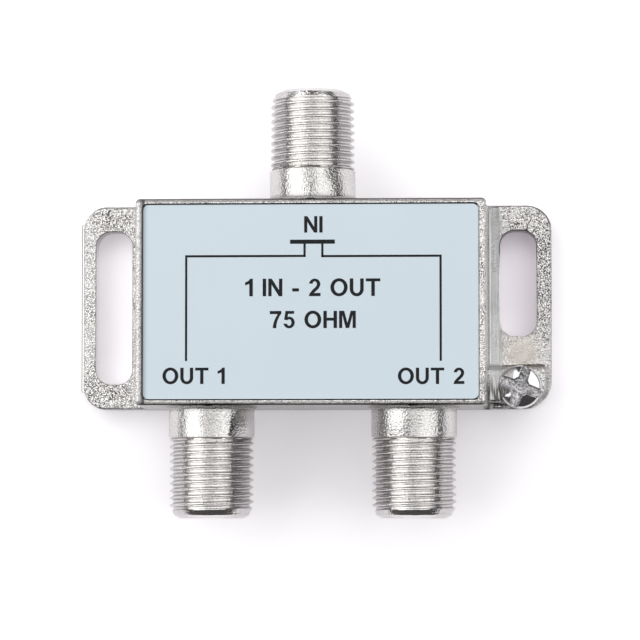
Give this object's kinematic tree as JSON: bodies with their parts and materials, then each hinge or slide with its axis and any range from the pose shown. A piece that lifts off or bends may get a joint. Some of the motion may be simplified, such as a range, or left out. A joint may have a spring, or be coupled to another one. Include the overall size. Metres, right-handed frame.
{
  "type": "coaxial splitter",
  "caption": "Flat die-cast splitter box with an F port on one long side, F ports on the other, slotted mounting ears and a ground screw.",
  "frame": {"origin": "middle of the bounding box, in the plane of the flat back face", "axes": "+X across the case towards the ear with the ground screw, +Y to the input port, +Z out of the printed front face"},
  "size_m": [0.0522, 0.0468, 0.0142],
  "materials": {
    "nickel_plated_casting": "satin",
    "tinned_plate": "satin",
    "printed_foil": "satin",
    "bright_screw": "polished",
    "white_bush": "satin",
    "contact_brass": "satin",
    "board": "matte",
    "ferrite": "matte",
    "enamelled_wire": "gloss",
    "resistor_body": "satin",
    "capacitor_disc": "satin",
    "solder": "satin"
  },
  "bodies": {
    "case": {"housing": "nickel_plated_casting", "rear_cover": "tinned_plate", "face_label": "printed_foil", "input_insulator": "white_bush", "output_left_insulator": "white_bush", "output_right_insulator": "white_bush", "input_contact": "contact_brass", "output_left_contact": "contact_brass", "output_right_contact": "contact_brass", "circuit_board": "board", "matching_core": "ferrite", "matching_winding": "enamelled_wire", "splitting_core": "ferrite", "splitting_winding": "enamelled_wire", "balance_resistor": "resistor_body", "input_capacitor": "capacitor_disc", "output_left_capacitor": "capacitor_disc", "output_right_capacitor": "capacitor_disc", "choke_core": "ferrite", "choke_winding": "enamelled_wire", "solder_joints": "solder"},
    "screw": {"ground_screw": "bright_screw"}
  },
  "joints": [
    {"name": "ground_screw_out", "type": "slide", "parent": "case", "child": "screw", "axis": [0, 0, 1], "range_m": [0, 0.0025]}
  ]
}
